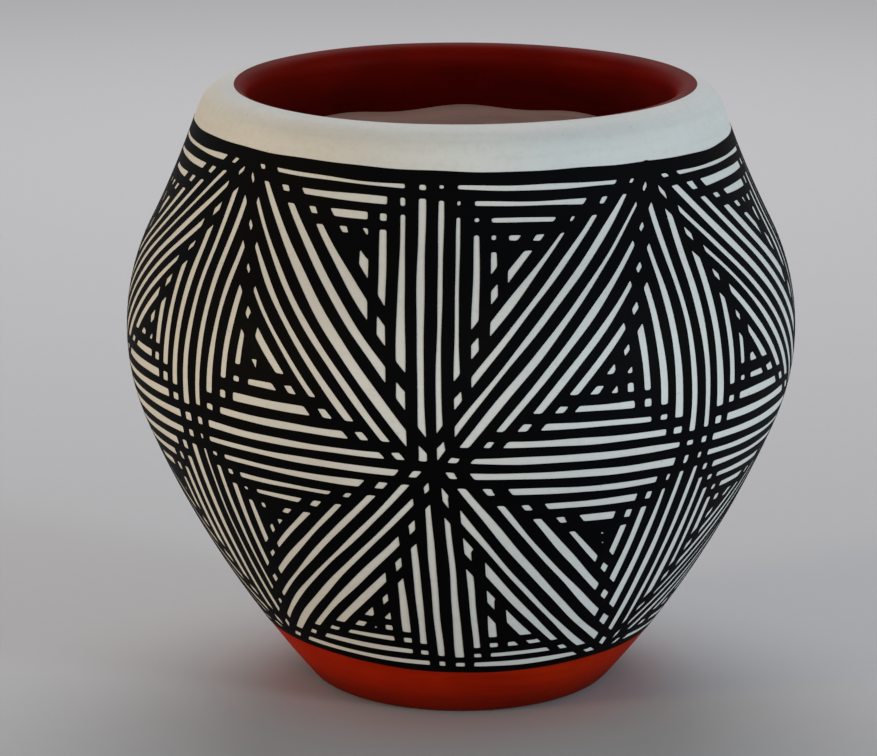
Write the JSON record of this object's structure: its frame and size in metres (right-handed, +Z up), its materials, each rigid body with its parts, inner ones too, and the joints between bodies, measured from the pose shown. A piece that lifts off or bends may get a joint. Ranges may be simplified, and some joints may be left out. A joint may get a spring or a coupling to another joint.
{
  "type": "pottery jar",
  "caption": "Small coil-built pottery jar, round-bellied with a turned-in rounded rim, white slipped over a red foot, with a black fine-line painted field; open to hold things.",
  "frame": {"origin": "centre of the flat underside, where the jar stands", "axes": "+Z up along the jar's axis; -Y is the pictured front; +X to its right"},
  "size_m": [0.102, 0.102, 0.0928],
  "materials": {
    "fired_clay": "bare fired clay, matt and a little gritty",
    "white_slip": "smooth white slip, stone-polished, matt satin",
    "red_slip": "orange-red iron slip, stone-polished satin",
    "black_paint": "brushed black mineral paint, matt"
  },
  "bodies": {
    "root": {"base_pat": "fired_clay", "wall_coil_1": "fired_clay", "wall_coil_2": "fired_clay", "wall_coil_3": "fired_clay", "wall_coil_4": "fired_clay", "wall_coil_5": "fired_clay", "rim_coil": "fired_clay", "white_slip": "white_slip", "red_foot_slip": "red_slip", "red_inner_slip": "red_slip", "painted_foot_line": "black_paint", "painted_waist_line": "black_paint", "painted_top_line": "black_paint"}
  },
  "joints": []
}
